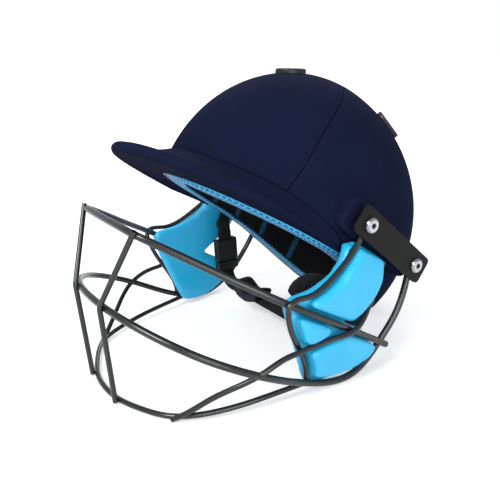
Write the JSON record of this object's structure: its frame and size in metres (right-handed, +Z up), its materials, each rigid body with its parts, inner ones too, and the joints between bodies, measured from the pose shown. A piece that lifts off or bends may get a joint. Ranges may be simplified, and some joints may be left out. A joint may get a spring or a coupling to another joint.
{
  "type": "cricket helmet",
  "caption": "Cloth-covered hard shell with a peak, a bolted wire face grille, moulded cheek pads and a buckled chin strap with a chin cup",
  "frame": {"origin": "centre of the footprint of the standing helmet, on the surface it stands on", "axes": "+Z up, -Y towards the peak and grille, +X towards the wearer's left"},
  "size_m": [0.2476, 0.3182, 0.2323],
  "materials": {
    "navy_cloth": "matte woven",
    "shell_black": "moulded",
    "foam_grey": "closed-cell foam",
    "lining_black": "matte knitted",
    "mesh_blue": "spacer mesh",
    "stitch_blue": "thread",
    "pad_blue": "moulded satin foam",
    "trim_black": "satin",
    "plate_black": "satin powder coat",
    "screw_steel": "polished",
    "insert_brass": "turned",
    "wire_grey": "gloss powder coat",
    "lug_steel": "brushed",
    "webbing_black": "woven",
    "buckle_black": "satin",
    "cup_black": "matte"
  },
  "bodies": {
    "helmet": {"boss_cover_l": "navy_cloth", "boss_cover_r": "navy_cloth", "boss_inserts": "insert_brass", "bottom_bar": "wire_grey", "cheek_pad_l": "pad_blue", "cheek_pad_r": "pad_blue", "cover_band": "navy_cloth", "cover_front": "navy_cloth", "cover_rear": "navy_cloth", "crown_button": "trim_black", "crown_pad": "lining_black", "diagonal_l": "wire_grey", "diagonal_r": "wire_grey", "foam_liner": "foam_grey", "front_post_l": "wire_grey", "front_post_r": "wire_grey", "hard_shell": "shell_black", "lining_band": "lining_black", "middle_bar": "wire_grey", "peak": "navy_cloth", "plate_screws": "screw_steel", "rear_vents": "trim_black", "side_loop_l": "wire_grey", "side_loop_r": "wire_grey", "side_plate_l": "plate_black", "side_plate_r": "plate_black", "stitch_bars": "stitch_blue", "strap_lug_l": "lug_steel", "strap_lug_r": "lug_steel", "strap_pin_l": "lug_steel", "strap_pin_r": "lug_steel", "sweatband": "mesh_blue", "top_bar": "wire_grey"},
    "chin_strap": {"strap_eye_l": "buckle_black", "strap_eye_r": "buckle_black", "buckle_web": "webbing_black", "chin_web": "webbing_black", "buckle_socket": "buckle_black", "buckle_plug": "buckle_black", "ribbed_tab": "cup_black"},
    "prong_front": {"prong_front": "buckle_black"},
    "prong_rear": {"prong_rear": "buckle_black"},
    "cup": {"chin_cup": "cup_black"},
    "slider": {"strap_slider": "buckle_black"}
  },
  "joints": [
    {"name": "strap_swing", "type": "hinge", "parent": "helmet", "child": "chin_strap", "pos_m": [0, 0.01627, 0.08077], "axis": [1, 0, 0], "range_deg": [-20, 20]},
    {"name": "prong_front_press", "type": "hinge", "parent": "chin_strap", "child": "prong_front", "pos_m": [-0.0876, 0.00907, 0.04017], "axis": [-1, 0, 0], "range_deg": [0, 14], "stiffness_Nm_per_rad": 0.27},
    {"name": "prong_rear_press", "type": "hinge", "parent": "chin_strap", "child": "prong_rear", "pos_m": [-0.0876, 0.02347, 0.04017], "axis": [1, 0, 0], "range_deg": [0, 14], "stiffness_Nm_per_rad": 0.27},
    {"name": "cup_slide", "type": "slide", "parent": "chin_strap", "child": "cup", "axis": [1, 0, 0], "range_m": [-0.006, 0.006]},
    {"name": "slider_slide", "type": "slide", "parent": "chin_strap", "child": "slider", "axis": [0, 0, 1], "range_m": [-0.008, 0.007]}
  ]
}
